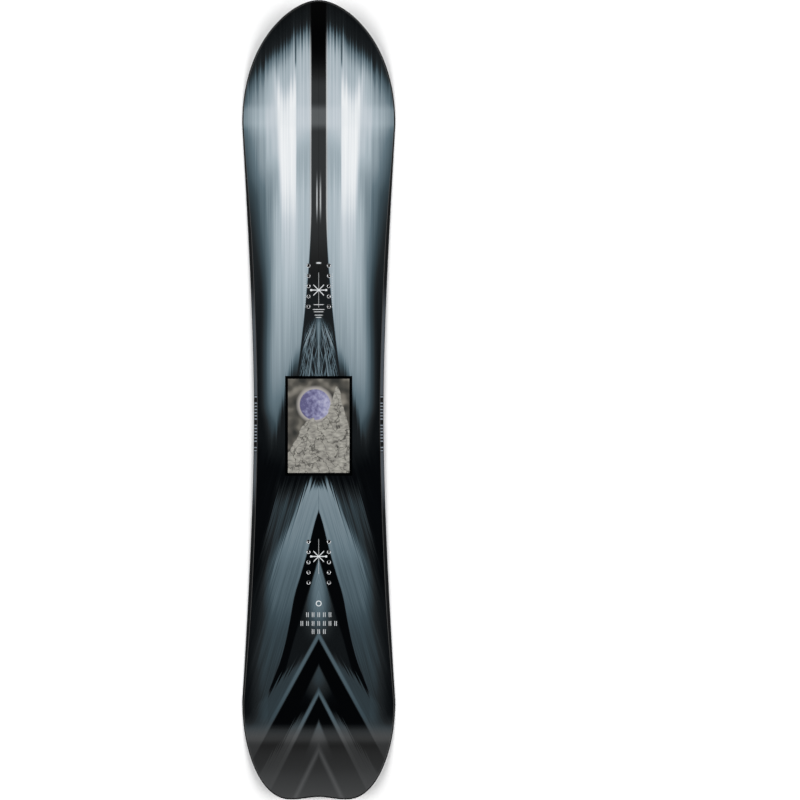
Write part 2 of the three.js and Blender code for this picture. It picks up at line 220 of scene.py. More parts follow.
def press_sheet(name, low, high, columns=SHEET_COLUMNS):
    """A blank sheet cut and pressed to shape. low and high are (inset, height above the underside)."""
    bpy.ops.object.select_all(action="DESELECT")
    bpy.ops.mesh.primitive_grid_add(x_subdivisions=columns, y_subdivisions=SHEET_ROWS, size=2.0)
    sheet = bpy.context.object
    sheet.name = sheet.data.name = name
    bpy.ops.object.mode_set(mode="EDIT")
    bpy.ops.mesh.select_all(action="SELECT")
    bpy.ops.mesh.extrude_region_move(TRANSFORM_OT_translate={"value": (0.0, 0.0, 1.0)})
    bpy.ops.object.mode_set(mode="OBJECT")
    across, along, level = vertices_of(sheet.data).T
    pressed = []
    for inset, height in (low, high):
        end = HALF_LENGTH - inset(HALF_LENGTH)
        y = end * np.sin(along * pi / 2)
        x = across * half_width(y, inset(y))
        y = y + notch(x) * np.exp(-(end + y) / 0.03)
        pressed.append(np.column_stack((x, y, underside(y) + height(y))))
    set_vertices(sheet.data, np.where(level[:, None] < 0.5, pressed[0], pressed[1]))
    return sheet


def finish_edges(piece, smooth_angle=30.0):
    """Merges doubled points, turns the faces outwards and smooths the broad surfaces."""
    bpy.ops.object.select_all(action="DESELECT")
    piece.select_set(True)
    bpy.context.view_layer.objects.active = piece
    bpy.ops.object.mode_set(mode="EDIT")
    bpy.ops.mesh.select_all(action="SELECT")
    bpy.ops.mesh.remove_doubles(threshold=1e-6)
    bpy.ops.mesh.normals_make_consistent(inside=False)
    bpy.ops.object.mode_set(mode="OBJECT")
    bpy.ops.object.shade_smooth_by_angle(angle=radians(smooth_angle))


def fixed(value):
    """The same inset or height all along the board."""
    return lambda y: value + 0.0 * y


class Ink:
    """Draws one material with shader nodes."""

    def __init__(self, name):
        self.material = bpy.data.materials.new(name)
        self.material.use_nodes = True
        self.nodes, self.links = self.material.node_tree.nodes, self.material.node_tree.links

    def feed(self, node, values):
        """Sets a node's sockets to numbers, or links other sockets to them."""
        for key, value in values.items():
            if isinstance(value, bpy.types.NodeSocket):
                self.links.new(value, node.inputs[key])
            else:
                node.inputs[key].default_value = value

    def finish(self, values):
        """Feeds the shader, and gives the material."""
        self.feed(self.nodes["Principled BSDF"], values)
        return self.material

    def put(self, kind, values, **settings):
        """A node with these settings, and with these values fed to its sockets."""
        node = self.nodes.new(kind)
        for key, value in settings.items():
            setattr(node, key, value)
        self.feed(node, values)
        return node

    def calc(self, operation, *values):
        return self.put("ShaderNodeMath", dict(enumerate(values)), operation=operation).outputs[0]

    def times(self, a, b):
        return self.calc("MULTIPLY", a, b)

    def plus(self, a, b):
        return self.calc("ADD", a, b)

    def minus(self, a, b):
        return self.calc("SUBTRACT", a, b)

    def most(self, first, *others):
        """The largest of these values."""
        for other in others:
            first = self.calc("MAXIMUM", first, other)
        return first

    def gap(self, value, centre):
        """How far the value is from the centre."""
        return self.calc("ABSOLUTE", self.minus(value, centre))

    def reach(self, x, y):
        """How far the point is from (0, 0)."""
        return self.calc("SQRT", self.plus(self.times(x, x), self.times(y, y)))

    def rise(self, value, start, end):
        """Smoothly from 0 at start to 1 at end, or down again where start is the larger."""
        values = {"Value": value, "From Min": start, "From Max": end}
        return self.put("ShaderNodeMapRange", values, interpolation_type="SMOOTHSTEP").outputs[0]

    def blend(self, share, under, over):
        values = {"Factor": share, 2: under, 3: over}
        return self.put("ShaderNodeMix", values, data_type="FLOAT").outputs[0]

    def curve(self, value, points, span=BOARD_MM):
        """A smooth curve through (place, height) points, with places from 0 to span."""
        node = self.put("ShaderNodeFloatCurve", {"Value": self.calc("DIVIDE", value, span)})
        line = node.mapping.curves[0]
        while len(line.points) < len(points):
            line.points.new(0.5, 0.5)
        for point, (place, height) in zip(line.points, points):
            point.location = (place / span, height)
            point.handle_type = "AUTO_CLAMPED"
        node.mapping.update()
        return node.outputs[0]

    def place(self):
        """The point's place on the board, in metres."""
        return self.put("ShaderNodeTexCoord", {}).outputs["Object"]

    def scaled(self, vector, scale, turn=0.0):
        values = {"Vector": vector, "Scale": scale, "Rotation": (0.0, 0.0, turn)}
        return self.put("ShaderNodeMapping", values).outputs[0]

    def bump(self, height, strength, distance):
        values = {"Height": height, "Strength": strength, "Distance": distance}
        return self.put("ShaderNodeBump", values).outputs[0]

    def vector(self, x, y, z=0.0):
        return self.put("ShaderNodeCombineXYZ", {0: x, 1: y, 2: z}).outputs[0]

    def noise(self, vector, scale, detail=3.0):
        values = {"Vector": vector, "Scale": scale, "Detail": detail}
        return self.put("ShaderNodeTexNoise", values).outputs[0]

    def streaks(self, across, along, width, length, seed):
        """Fine streaks of that width and length, as values round 0."""
        vector = self.vector(self.calc("DIVIDE", across, width), self.calc("DIVIDE", along, length), seed)
        spread = self.minus(self.noise(vector, 1.0, 2.0), 0.5)
        return self.times(spread, 2.0)

    def wedge(self, across, along, apex, slope, soft, wander=0.0):
        """1 inside the arrow shape that opens from its apex towards the tail."""
        edge = self.times(self.minus(along, apex), slope)
        gap = self.plus(self.minus(edge, across), wander)
        return self.rise(gap, -soft, soft)

    def line(self, across, along, apex, slope, half, soft):
        """1 along the two arms of a thin arrow."""
        edge = self.times(self.minus(along, apex), slope)
        gap = self.gap(edge, across)
        return self.rise(gap, half + soft, half - soft)

    def layer(self, share, under, over):
        """One colour laid over another. Each is a socket or a printed colour."""
        under, over = (c if isinstance(c, bpy.types.NodeSocket) else (*c, 1.0) for c in (under, over))
        return self.put("ShaderNodeMix", {"Factor": share, 6: under, 7: over}, data_type="RGBA").outputs[2]

    def colours(self, value, stops):
        node = self.put("ShaderNodeValToRGB", {"Fac": value})
        elements = node.color_ramp.elements
        while len(elements) < len(stops):
            elements.new(1.0)
        for element, (place, colour) in zip(elements, stops):
            element.position = place
            element.color = (*colour, 1.0)
        return node.outputs[0]


INK_DEPTH = 0.86


def screen_colour(red, green, blue):
    """A printed colour given as it looks under the studio's light, from 0 to 255."""
    return tuple(INK_DEPTH * (value / 255.0) ** 2.2 for value in (red, green, blue))


# The inks run from black through slate and steel blue to nearly white, by how light they look.
INK_STOPS = (
    (0.0, screen_colour(6, 7, 9)),
    (0.06, screen_colour(16, 18, 20)),
    (0.16, screen_colour(40, 44, 46)),
    (0.30, screen_colour(63, 77, 84)),
    (0.47, screen_colour(101, 119, 128)),
    (0.62, screen_colour(144, 159, 167)),
    (0.73, screen_colour(173, 187, 195)),
    (0.83, screen_colour(203, 212, 219)),
    (1.0, screen_colour(246, 249, 251)),
)


def white_band(ink, across, along, fine):
    """The band of almost white light on each side, which starts in two prongs near the nose."""
    outer = ink.minus(92.5, ink.times(along, 0.045))
    band = ink.rise(across, ink.plus(outer, 5.0), ink.minus(outer, 7.0))
    band = ink.times(ink.rise(across, 42.0, 46.0), band)
    prongs = ink.plus(along, ink.times(ink.gap(across, 65.0), 1.8))
    start = ink.plus(ink.calc("MINIMUM", prongs, 300.0), ink.times(fine, 40.0))
    strength = ink.curve(ink.most(start, along), (
        (0, 0.0), (150, 0.0), (180, 0.22), (215, 0.78), (250, 0.97), (320, 0.96), (390, 0.75),
        (450, 0.34), (560, 0.12), (700, 0.0), (1560, 0.0)))
    return ink.times(band, strength)


def print_front(ink, across, along):
    """Steel-blue light streaming back from the nose on both sides of a dark centre stripe."""
    fine = ink.streaks(across, along, 2.6, 260.0, 1.0)
    broad = ink.streaks(across, along, 9.0, 420.0, 5.0)
    bow = ink.times(across, ink.plus(0.35, ink.times(across, 0.0035)))
    arch = ink.plus(ink.minus(along, bow), ink.times(ink.plus(fine, broad), 26.0))
    # The light is brightest from about 165 to 225 mm, partly as print and partly as a broad painted
    # highlight round the painted sheen band.
    light = ink.curve(arch, (
        (0, 0.08), (30, 0.12), (45, 0.24), (58, 0.46), (70, 0.57), (85, 0.69), (104, 0.74),
        (135, 0.76), (165, 0.78), (225, 0.78), (262, 0.725), (300, 0.67), (340, 0.70), (385, 0.735),
        (480, 0.72), (560, 0.67), (650, 0.60), (730, 0.46), (790, 0.28), (850, 0.12), (1560, 0.08)))
    night = ink.curve(along, ((0, 0.10), (250, 0.22), (450, 0.16), (700, 0.09), (1560, 0.06)))
    edge = ink.times(200.0, ink.curve(along, (
        (0, 0.65), (146, 0.65), (234, 0.70), (273, 0.645), (312, 0.61), (351, 0.575), (390, 0.54),
        (488, 0.50), (585, 0.49), (683, 0.505), (780, 0.51), (829, 0.475), (880, 0.45), (1560, 0.45))))
    soft = ink.times(100.0, ink.curve(along, (
        (0, 0.60), (312, 0.44), (488, 0.28), (585, 0.18), (1560, 0.14))))
    inner = ink.rise(across, ink.plus(edge, soft), ink.minus(edge, soft))
    tone = ink.blend(inner, night, light)
    tone = ink.blend(white_band(ink, across, along, fine), tone, 1.0)
    grain = ink.plus(ink.times(fine, 0.10), ink.times(broad, 0.08))
    tone = ink.plus(tone, ink.times(grain, ink.rise(tone, 0.05, 0.6)))
    hairline = ink.times(ink.rise(along, 62.0, 80.0), ink.rise(along, 135.0, 112.0))
    hairline = ink.times(hairline, ink.rise(ink.gap(across, 45.0), 1.8, 0.8))
    tone = ink.blend(ink.times(hairline, 0.7), tone, 0.22)
    shade = ink.wedge(across, along, 468.0, 0.22, 6.0, ink.times(fine, 14.0))
    shade = ink.times(shade, ink.rise(along, 665.0, 750.0))
    return ink.blend(shade, tone, 0.11)


def feather(ink, across, along, half):
    """A mesh of thin strokes that fans out behind the front insert pack, inside the stripe."""
    fan = ink.calc("DIVIDE", across, ink.most(ink.minus(along, 600.0), 8.0))
    rays = ink.rise(ink.streaks(ink.times(fan, 100.0), along, 2.2, 260.0, 9.0), 0.06, 0.26)
    for lean, seed in ((0.17, 11.0), (-0.17, 13.0)):
        slanted = ink.plus(across, ink.times(along, lean))
        barbs = ink.rise(ink.streaks(slanted, along, 2.1, 42.0, seed), 0.08, 0.28)
        rays = ink.most(rays, ink.times(barbs, 0.8))
    spine = ink.times(ink.rise(across, 8.0, 0.0), ink.rise(along, 700.0, 640.0))
    strokes = ink.most(rays, ink.times(spine, 0.8))
    started = ink.rise(ink.minus(along, across), 604.0, 632.0)
    inside = ink.rise(ink.minus(half, across), 2.0, 9.0)
    return ink.times(strokes, ink.times(started, inside))


def print_stripe(ink, across, along, tone):
    """The dark stripe, which opens into a feathered wedge behind the front insert pack."""
    past = ink.most(ink.minus(along, 400.0), 0.0)
    half = ink.plus(14.4, ink.times(ink.calc("POWER", past, 1.635), 0.002114))
    # The stripe lightens from the nose tip to about 175 mm, partly as print and partly as a painted
    # reflection on the rising nose.
    dark = ink.curve(along, (
        (0, 0.03), (70, 0.035), (110, 0.07), (146, 0.16), (175, 0.22), (273, 0.22), (390, 0.22),
        (450, 0.20), (490, 0.17), (540, 0.13), (640, 0.12), (780, 0.12), (1560, 0.05)))
    stroke_tone = ink.blend(ink.rise(along, 640.0, 720.0), 0.70, 0.60)
    dark = ink.blend(ink.times(feather(ink, across, along, half), 0.85), dark, stroke_tone)
    pins = ink.times(ink.rise(along, 325.0, 380.0), ink.rise(along, 440.0, 395.0))
    pins = ink.times(pins, ink.rise(ink.gap(across, 3.4), 2.4, 0.4))
    inside = ink.rise(across, ink.plus(half, 1.2), ink.minus(half, 1.2))
    return ink.blend(inside, tone, ink.blend(pins, dark, 0.74))


def leg_and_glow(ink, across, along, fine, tone):
    """The black arrow round the rear insert pack, with a soft light standing in its fork."""
    leg = ink.curve(along, (
        (0, 0.0), (992, 0.0), (1002, 0.025), (1024, 0.09), (1073, 0.21), (1121, 0.35), (1170, 0.49),
        (1209, 0.56), (1249, 0.64), (1288, 0.745), (1327, 0.89), (1354, 0.985), (1362, 1.0), (1560, 1.0)))
    past_leg = ink.minus(ink.times(leg, 100.0), across)
    tone = ink.blend(ink.rise(past_leg, -0.8, 1.2), tone, 0.035)
    glow = ink.times(ink.rise(across, 36.0, 0.0), ink.rise(along, 1262.0, 1180.0))
    glow_tone = ink.blend(glow, 0.09, ink.plus(0.44, ink.times(fine, 0.12)))
    fork = ink.wedge(across, along, 1089.0, 0.30, 2.5, ink.times(fine, 4.0))
    return ink.blend(fork, tone, glow_tone)


def print_arrows(ink, across, along, tone):
    """The nested arrows of the rear half, from the outermost haze to the fork round the inserts."""
    slant = ink.minus(across, ink.times(along, 0.29))
    fine = ink.streaks(slant, along, 2.2, 120.0, 2.0)
    broad = ink.streaks(slant, along, 7.0, 240.0, 7.0)
    mixed = ink.plus(fine, broad)
    ragged = ink.times(fine, 16.0)
    teeth = ink.plus(along, ink.times(mixed, 26.0))
    night = ink.plus(0.06, ink.times(broad, 0.05))
    tone = ink.blend(ink.rise(along, 850.0, 930.0), tone, night)
    haze = ink.times(ink.wedge(across, along, 652.0, 0.262, 6.0, ragged), ink.rise(teeth, 930.0, 1000.0))
    haze_tone = ink.curve(along, ((0, 0.2), (960, 0.22), (1030, 0.20), (1200, 0.17), (1560, 0.15)))
    tone = ink.blend(haze, tone, ink.plus(haze_tone, ink.times(mixed, 0.11)))
    glint = ink.times(ink.rise(along, 925.0, 940.0), ink.rise(along, 990.0, 945.0))
    glint = ink.times(glint, ink.line(across, along, 868.0, 0.24, 1.6, 1.6))
    tone = ink.blend(glint, tone, 0.42)
    light = ink.curve(along, (
        (0, 0.5), (940, 0.55), (1000, 0.53), (1060, 0.49), (1122, 0.39), (1170, 0.355), (1210, 0.30),
        (1250, 0.25), (1330, 0.21), (1560, 0.18)))
    light = ink.plus(light, ink.times(mixed, 0.08))
    flank = ink.times(ink.wedge(across, along, 888.0, 0.45, 9.0, ragged), ink.rise(teeth, 1000.0, 1070.0))
    tone = ink.blend(ink.times(flank, 0.8), tone, ink.times(light, 0.85))
    bright = ink.times(ink.wedge(across, along, 888.0, 0.40, 5.0, ragged), ink.rise(teeth, 935.0, 955.0))
    tone = ink.blend(bright, tone, light)
    return leg_and_glow(ink, across, along, fine, tone)


def tail_rim_and_painted_reflection(ink, across, along, tone):
    """The dark rim beside the rear arrows, and a painted reflection: the grey haze that covers the end of
    the tail, with a painted highlight band near 1436 mm.
    """
    start = ink.blend(ink.rise(along, 1180.0, 1300.0), 84.0, 102.0)
    rim = ink.times(ink.rise(along, 850.0, 930.0), ink.rise(along, 1440.0, 1390.0))
    rim = ink.times(rim, ink.rise(across, start, ink.plus(start, 38.0)))
    tone = ink.blend(ink.times(rim, 0.85), tone, 0.05)
    # Painted reflection of the bright sky beyond the nose on the rising tail: a grey haze, with a painted
    # highlight band at about 1420 to 1452 mm.
    haze = ink.curve(along, (
        (0, 0.0), (1395, 0.0), (1425, 0.45), (1437, 0.60), (1455, 0.66), (1490, 0.82), (1560, 0.86)))
    haze_tone = ink.curve(along, (
        (0, 0.2), (1420, 0.235), (1436, 0.27), (1452, 0.215), (1482, 0.22), (1521, 0.27), (1560, 0.32)))
    return ink.blend(haze, tone, haze_tone)


def print_tail(ink, across, along, tone):
    """Two slim arrows over black, two soft points between them, and a last arrow in the painted reflection
    at the end of the tail.
    """
    fine = ink.streaks(ink.minus(across, ink.times(along, 0.5)), along, 2.4, 90.0, 3.0)
    ragged = ink.plus(along, ink.times(fine, 30.0))
    for apex, slope, ground, teeth_slope in ((1238.0, 0.55, 0.24, 0.86), (1348.0, 0.51, 0.27, 0.72)):
        behind = ink.wedge(across, ragged, apex + 2.0, teeth_slope, 4.0)
        outside = ink.minus(1.0, ink.wedge(across, along, apex, slope, 1.0))
        side = ink.times(ink.times(behind, outside), ink.rise(along, apex + 30.0, apex + 75.0))
        tone = ink.blend(ink.times(side, 0.9), tone, ink.plus(ground, ink.times(fine, 0.06)))
        tone = ink.blend(ink.wedge(across, along, apex + 9.0, slope, 2.0), tone, 0.025)
        arm_tone = ink.blend(ink.rise(along, apex + 260.0, apex + 60.0), 0.22, 0.36)
        tone = ink.blend(ink.line(across, along, apex + 2.0, slope, 4.2, 2.4), tone, arm_tone)
    for apex, slope, peak in ((1298.0, 0.49, 0.22), (1407.0, 0.40, 0.31)):
        point = ink.wedge(across, along, apex, slope, 3.0)
        point = ink.times(point, ink.rise(along, apex + 95.0, apex + 20.0))
        bound = ink.minus(1.0, ink.wedge(across, along, apex + 50.0, 0.51, 3.0))
        tone = ink.blend(ink.times(point, bound), tone, ink.blend(ink.rise(across, 34.0, 0.0), 0.09, peak))
    tone = tail_rim_and_painted_reflection(ink, across, along, tone)
    last = ink.line(across, along, 1464.0, 0.49, 4.0, 5.0)
    return ink.blend(ink.times(last, 0.5), tone, 0.40)


# Painted highlights: soft pale bands across the board where the nose and tail rises begin. Each gives the
# band's middle and half width in millimetres along the board, and its strength.
PAINTED_SHEENS = ((226.0, 30.0, 0.22), (1434.0, 24.0, 0.07))


def board_print(ink, shift=0.0):
    """The shared graphic's colour, with painted highlight bands and a painted reflection on the tail, and
    the coordinates it is drawn in.

    They are in millimetres: along from the nose tip, across from the centre line. The shift moves the
    rear arrows towards the nose.
    """
    split = ink.put("ShaderNodeSeparateXYZ", {0: ink.place()})
    x, y = (ink.times(split.outputs[axis], 1000.0) for axis in ("X", "Y"))
    across = ink.calc("ABSOLUTE", x)
    along = ink.minus(BOARD_MM / 2, y)
    rear = ink.plus(along, ink.times(ink.rise(along, 1000.0, 1250.0), shift))
    tone = print_front(ink, across, along)
    tone = print_stripe(ink, across, along, tone)
    tone = print_arrows(ink, across, rear, tone)
    tone = print_tail(ink, across, rear, tone)
    # Lays the painted highlight bands over the print.
    for middle, half, strength in PAINTED_SHEENS:
        painted_highlight = ink.rise(ink.gap(along, middle), half, half * 0.35)
        tone = ink.blend(ink.times(painted_highlight, strength), tone, 0.9)
    # Neutral grey, not blue, over the dark stripe and over the painted reflection at the end of the tail.
    stripe = ink.times(ink.rise(across, 19.0, 15.0), ink.rise(along, 600.0, 520.0))
    grey = ink.most(ink.times(stripe, 0.8), ink.times(ink.rise(along, 1395.0, 1445.0), 0.9))
    level = ink.times(ink.calc("POWER", tone, 2.2), INK_DEPTH)
    neutral = ink.put("ShaderNodeCombineColor", {0: level, 1: level, 2: level}).outputs[0]
    colour = ink.layer(grey, ink.colours(tone, INK_STOPS), neutral)
    return {"colour": colour, "x": x, "y": y, "across": across, "along": along}


def bars(ink, value, centre, half, soft=0.25):
    """A short mark centred on value, as 1 inside it."""
    gap = ink.gap(value, centre)
    return ink.rise(gap, half + soft, max(half - soft, 0.0))


NAME_BARS = (72.0, 105.0, 138.0, 171.0, 204.0)


def base_colour(ink, drawn):
    """The shared graphic under a pale haze at nose and tail, with five plain bars along the stripe."""
    haze = ink.curve(drawn["along"], (
        (0, 0.38), (100, 0.42), (160, 0.36), (200, 0.15), (235, 0.0), (1120, 0.0), (1200, 0.18),
        (1300, 0.30), (1440, 0.28), (1480, 0.06), (1560, 0.04)))
    colour = ink.layer(haze, drawn["colour"], screen_colour(196, 200, 204))
    rows = ink.most(*(bars(ink, drawn["along"], place, 2.2) for place in NAME_BARS))
    white = ink.times(rows, ink.rise(drawn["across"], 7.5, 6.5))
    return ink.layer(white, colour, screen_colour(240, 242, 243))


def base_material():
    ink = Ink("printed_base")
    drawn = board_print(ink, 10.0)
    wax = ink.streaks(drawn["across"], drawn["along"], 0.5, 60.0, 4.0)
    return ink.finish({
        "Base Color": base_colour(ink, drawn),
        "Roughness": ink.plus(0.34, ink.times(wax, 0.08)),
        "Normal": ink.bump(wax, 0.25, 0.00004),
    })


def add_base():
    base = press_sheet("base", (fixed(BASE_INSET), fixed(0.0)), (fixed(BASE_INSET), fixed(BASE_THICKNESS)))
    finish_edges(base)
    base.data.materials.append(base_material())
    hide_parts("base_sheet")
    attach(base, "root")


add_base()


# ---------------------------------------------------------------- Steel edges
# Hardened steel, ground square at the rim. A thin tang reaches inwards over the
# base and is bonded into the stack. Left and right edges meet at nose and tail.
EDGE_WIDTH = 0.0022
EDGE_HEIGHT = 0.0018
TANG_WIDTH = 0.006
TANG_THICKNESS = 0.0005
JOINT_GAP = 0.00015
NOTCH_STEPS = 30


def rim_path():
    """The right-hand outline with the tail's scoop added, and its inward directions."""
    x = np.linspace(NOTCH_HALF, 0.0, NOTCH_STEPS)
    slope = -NOTCH_DEPTH * 0.5 * pi / NOTCH_HALF * np.sin(pi * x / NOTCH_HALF)
    scoop = np.column_stack((x, notch(x) - HALF_LENGTH))
    upwards = np.column_stack((-slope, np.ones_like(x)))
    upwards /= np.linalg.norm(upwards, axis=1, keepdims=True)
    keep = np.r_[0:len(OUTLINE):2]
    return np.vstack((OUTLINE[keep], scoop)), np.vstack((INWARD[keep], upwards))


RIM, RIM_INWARD = rim_path()


def bend_strip(name, corners, side, path=RIM, inward=RIM_INWARD):
    """A strip with this section, bent along one side of the board.

    corners go round the section. Each gives, from the path's points and inward directions, the
    corner's own places in plan, and its height above the underside there.
    """
    bpy.ops.object.select_all(action="DESELECT")
    bpy.ops.mesh.primitive_grid_add(x_subdivisions=len(corners), y_subdivisions=len(path) - 1, size=2.0)
    strip = bpy.context.object
    strip.name = strip.data.name = name
    across, along, _ = vertices_of(strip.data).T
    column = np.rint((across + 1.0) / 2.0 * len(corners)).astype(int) % len(corners)
    row = np.rint((along + 1.0) / 2.0 * (len(path) - 1)).astype(int)
    places = np.empty((len(row), 3))
    for index, (plan, height) in enumerate(corners):
        spots = plan(path, inward)
        chosen = column == index
        x = np.maximum(spots[row[chosen], 0], JOINT_GAP)
        y = spots[row[chosen], 1]
        places[chosen] = np.column_stack((side * x, y, underside(y) + height(y)))
    set_vertices(strip.data, places)
    finish_edges(strip)
    bpy.ops.object.mode_set(mode="EDIT")
    bpy.ops.mesh.select_all(action="SELECT")
    bpy.ops.mesh.fill_holes(sides=0)
    bpy.ops.mesh.normals_make_consistent(inside=False)
    bpy.ops.object.mode_set(mode="OBJECT")
    return strip


def moved_in(inset):
    """A corner of the section at this inset, which may change along the board."""
    return lambda path, inward: path + inward * np.asarray(inset(path[:, 1]))[:, None]


def steel_material(name, colour, grain, polish):
    ink = Ink(name)
    marks = ink.noise(ink.scaled(ink.place(), grain), 1.0, 4.0)
    stops = ((0.3, tuple(0.8 * part for part in colour)), (0.7, colour))
    return ink.finish({
        "Metallic": 1.0,
        "Base Color": ink.colours(marks, stops),
        "Roughness": ink.rise(marks, polish, 2.4),
        "Normal": ink.bump(marks, 0.3, 0.00003),
    })


def add_edges():
    steel = steel_material("edge_steel", (0.50, 0.52, 0.54), (2500.0, 60.0, 2500.0), -0.6)
    shoulder = plain_material("edge_shoulder", (0.012, 0.012, 0.013, 1.0), 0.6)
    bevel = 0.00025
    tang_low = EDGE_HEIGHT - TANG_THICKNESS
    corners = (
        (moved_in(fixed(bevel)), fixed(0.0)),
        (moved_in(fixed(EDGE_WIDTH)), fixed(0.0)),
        (moved_in(fixed(EDGE_WIDTH)), fixed(tang_low)),
        (moved_in(fixed(EDGE_WIDTH + TANG_WIDTH)), fixed(tang_low)),
        (moved_in(fixed(EDGE_WIDTH + TANG_WIDTH)), fixed(EDGE_HEIGHT)),
        (moved_in(fixed(bevel)), fixed(EDGE_HEIGHT)),
        (moved_in(fixed(0.0)), fixed(EDGE_HEIGHT - bevel)),
        (moved_in(fixed(0.0)), fixed(bevel)),
    )
    for side, name in ((-1, "left"), (1, "right")):
        edge = bend_strip(f"steel_edge_{name}", corners, side)
        edge.data.materials.append(steel)
        edge.data.materials.append(shoulder)
        for polygon in edge.data.polygons:
            polygon.material_index = int(polygon.normal.z > 0.8)
        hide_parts(f"edge_{name}")
        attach(edge, "root")


add_edges()


# ---------------------------------------------------------------- Rubber foil
# A strip of damping rubber lies over each edge tang, so that the bond to the
# steel survives knocks. It is cut flush with the ledge of the sidewall.
LEDGE_INSET = 0.0012
FOIL_LOW = 0.0019
FOIL_THICKNESS = 0.0003
FOIL_WIDTH = 0.0065


def rubber_material():
    ink = Ink("damping_rubber")
    grain = ink.noise(ink.place(), 2600.0, 4.0)
    return ink.finish({
        "Base Color": ink.colours(grain, ((0.3, (0.010, 0.010, 0.010)), (0.7, (0.022, 0.022, 0.023)))),
        "Roughness": 0.85,
        "Normal": ink.bump(grain, 0.4, 0.00005),
    })


def add_foils():
    rubber = rubber_material()
    top = FOIL_LOW + FOIL_THICKNESS
    inner = LEDGE_INSET + FOIL_WIDTH
    corners = tuple((moved_in(fixed(inset)), fixed(height)) for inset, height in (
        (LEDGE_INSET, FOIL_LOW), (inner, FOIL_LOW), (inner, top), (LEDGE_INSET, top)))
    for side, name in ((-1, "left"), (1, "right")):
        foil = bend_strip(f"foil_{name}", corners, side)
        foil.data.materials.append(rubber)
        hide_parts(f"rubber_foil_{name}")
        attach(foil, "root")


add_foils()


# ---------------------------------------------------------------- Glass laminates
# Woven glass fibre in cured resin, one sheet under the core and one over it.
# The lower one steps up over the edge tangs and the foil at its rim.
GLASS_THICKNESS = 0.0006
GLASS_HOLE_RADIUS = 0.0043
SIDEWALL_LOW = 0.0030
BEVEL_RATIO = 0.93
GLUE = 0.0001
CORE_LOW = 0.0020
CORE_WAIST, CORE_TIP = 0.0064, 0.0020
CORE_TAPER = {"nose": 0.274, "tail": -0.368, "run": 0.290}


def core_thickness(y):
    past = np.maximum(np.maximum(y - CORE_TAPER["nose"], CORE_TAPER["tail"] - y), 0.0)
    share = np.clip(past / CORE_TAPER["run"], 0.0, 1.0)
    share = share * share * (3.0 - 2.0 * share)
    return CORE_WAIST + (CORE_TIP - CORE_WAIST) * share


def above_core(rise):
    return lambda y: CORE_LOW + core_thickness(y) + rise


def bevelled(height):
    """The inset of the bevelled side at this height."""
    return lambda y: LEDGE_INSET + BEVEL_RATIO * (height(y) - SIDEWALL_LOW)


def glass_material():
    ink = Ink("glass_laminate")
    weave = ink.put("ShaderNodeTexWave", {"Vector": ink.place(), "Scale": 260.0, "Distortion": 0.4},
                    bands_direction="DIAGONAL").outputs[1]
    return ink.finish({
        "Base Color": ink.colours(weave, ((0.2, (0.010, 0.010, 0.010)), (0.8, (0.018, 0.018, 0.017)))),
        "Roughness": 0.35,
        "Normal": ink.bump(weave, 0.3, 0.00004),
    })


def drill_holes(sheet, radius):
    """Cuts a round hole through the sheet at every insert."""
    cutters = []
    bpy.ops.object.select_all(action="DESELECT")
    for node in sorted(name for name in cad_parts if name.startswith("insert_")):
        low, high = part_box(node)
        place = ((low[0] + high[0]) / 2, (low[1] + high[1]) / 2, high[2])
        bpy.ops.mesh.primitive_cylinder_add(vertices=40, radius=radius, depth=0.01, location=place)
        cutters.append(bpy.context.object)
    for cutter in cutters:
        cutter.select_set(True)
    bpy.ops.object.join()
    drill = bpy.context.object
    cut = sheet.modifiers.new("holes", "BOOLEAN")
    cut.object = drill
    cut.solver = "EXACT"
    bpy.context.view_layer.objects.active = sheet
    bpy.ops.object.modifier_apply(modifier="holes")
    bpy.data.objects.remove(drill)


def add_laminates():
    glass = glass_material()
    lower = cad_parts["lower_glass"]
    lower.data.materials.clear()
    lower.data.materials.append(glass)
    low, high = above_core(GLUE), above_core(GLUE + GLASS_THICKNESS)
    upper = press_sheet("upper_laminate", (bevelled(low), low), (bevelled(high), high))
    finish_edges(upper)
    drill_holes(upper, GLASS_HOLE_RADIUS)
    finish_edges(upper)
    upper.data.materials.append(glass)
    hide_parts("upper_glass")
    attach(upper, "root")


add_laminates()


# ---------------------------------------------------------------- Sidewalls and tip spacers
# Black plastic closes the stack between the two laminates. The sidewalls run between
# the contact lines, the spacers fill nose and tail, and all are milled to one bevel.
CORE_INSET = 0.0099
CORE_END = {"nose": 0.736, "tail": -0.738}
CORE_ROUNDING = 0.130
SIDE_GAP = 0.0003
SIDEWALL_END = {"nose": 0.560, "tail": -0.610}
RULE_SPAN = (-0.102, 0.009)
TICK_PITCH = 6.2


def core_half(y):
    left = np.minimum(CORE_END["nose"] - y, y - CORE_END["tail"])
    share = np.clip(1.0 - left / CORE_ROUNDING, 0.0, 1.0)
    return half_width(y, CORE_INSET) * np.sqrt(1.0 - share**2)


def beside_core(path, inward):
    """The inner wall of the rim, which follows the core and closes round its ends."""
    end = np.where(path[:, 1] > 0, CORE_END["nose"], -CORE_END["tail"]) + SIDE_GAP
    start = np.where(path[:, 1] > 0, SIDEWALL_END["nose"], -SIDEWALL_END["tail"])
    share = np.clip((np.abs(path[:, 1]) - start) / (HALF_LENGTH - start), 0.0, 1.0)
    y = np.sign(path[:, 1]) * np.where(share > 0, start + share * (end - start), np.abs(path[:, 1]))
    return np.column_stack((core_half(y) + SIDE_GAP, y))


